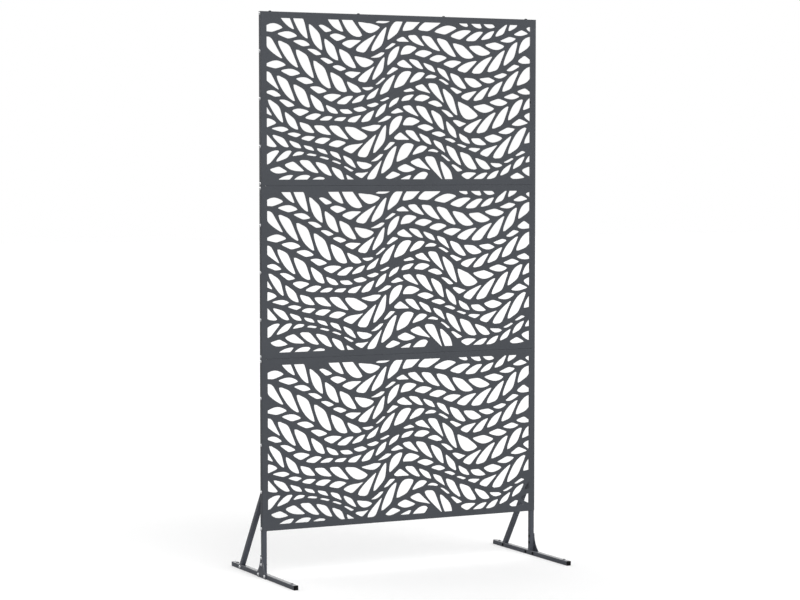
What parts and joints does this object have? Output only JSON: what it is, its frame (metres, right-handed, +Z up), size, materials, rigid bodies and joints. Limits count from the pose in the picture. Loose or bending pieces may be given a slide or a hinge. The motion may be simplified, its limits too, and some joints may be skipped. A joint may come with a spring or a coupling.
{
  "type": "laser cut metal screen",
  "caption": "Free-standing upright screen: leaf-pierced sheet panels stacked on slim square-tube posts, with flat feet, corner plates and rear diagonal braces.",
  "frame": {"origin": "on the floor, midway between the two posts and in their centre plane", "axes": "+Z up, +X to the right seen from the front, +Y from the front towards the braces at the back"},
  "size_m": [1.0084, 0.5, 1.803],
  "materials": {
    "panel_coat": "fine matt anthracite powder coat on sheet steel",
    "frame_coat": "fine matt anthracite powder coat on steel tube and plate",
    "zinc": "bright zinc plate",
    "dark_bolts": "black zinc plate",
    "cap_plastic": "black moulded plastic"
  },
  "bodies": {
    "root": {"panel_top": "panel_coat", "panel_middle": "panel_coat", "panel_bottom": "panel_coat", "post_left": "frame_coat", "post_right": "frame_coat", "top_rail": "frame_coat", "foot_left": "frame_coat", "foot_right": "frame_coat", "brace_left": "frame_coat", "brace_right": "frame_coat", "corner_plate_left": "frame_coat", "corner_plate_right": "frame_coat", "foot_cap_front_left": "cap_plastic", "foot_cap_rear_left": "cap_plastic", "foot_cap_front_right": "cap_plastic", "foot_cap_rear_right": "cap_plastic", "side_bolts_top_left": "zinc", "side_bolts_middle_left": "zinc", "side_bolts_bottom_left": "zinc", "side_bolts_top_right": "zinc", "side_bolts_middle_right": "zinc", "side_bolts_bottom_right": "zinc", "side_nuts_top_left": "dark_bolts", "side_nuts_middle_left": "dark_bolts", "side_nuts_bottom_left": "dark_bolts", "side_nuts_top_right": "dark_bolts", "side_nuts_middle_right": "dark_bolts", "side_nuts_bottom_right": "dark_bolts", "seam_bolts_upper": "zinc", "seam_bolts_lower": "zinc", "seam_nuts_upper": "dark_bolts", "seam_nuts_lower": "dark_bolts", "rail_bolts": "dark_bolts", "rail_nuts": "dark_bolts", "plate_bolts_left": "zinc", "plate_bolts_right": "zinc", "plate_nuts_left": "dark_bolts", "plate_nuts_right": "dark_bolts", "brace_bolt_left": "zinc", "brace_bolt_right": "zinc", "brace_nut_left": "dark_bolts", "brace_nut_right": "dark_bolts", "floor_screws_left": "dark_bolts", "floor_screws_right": "dark_bolts"}
  },
  "joints": []
}
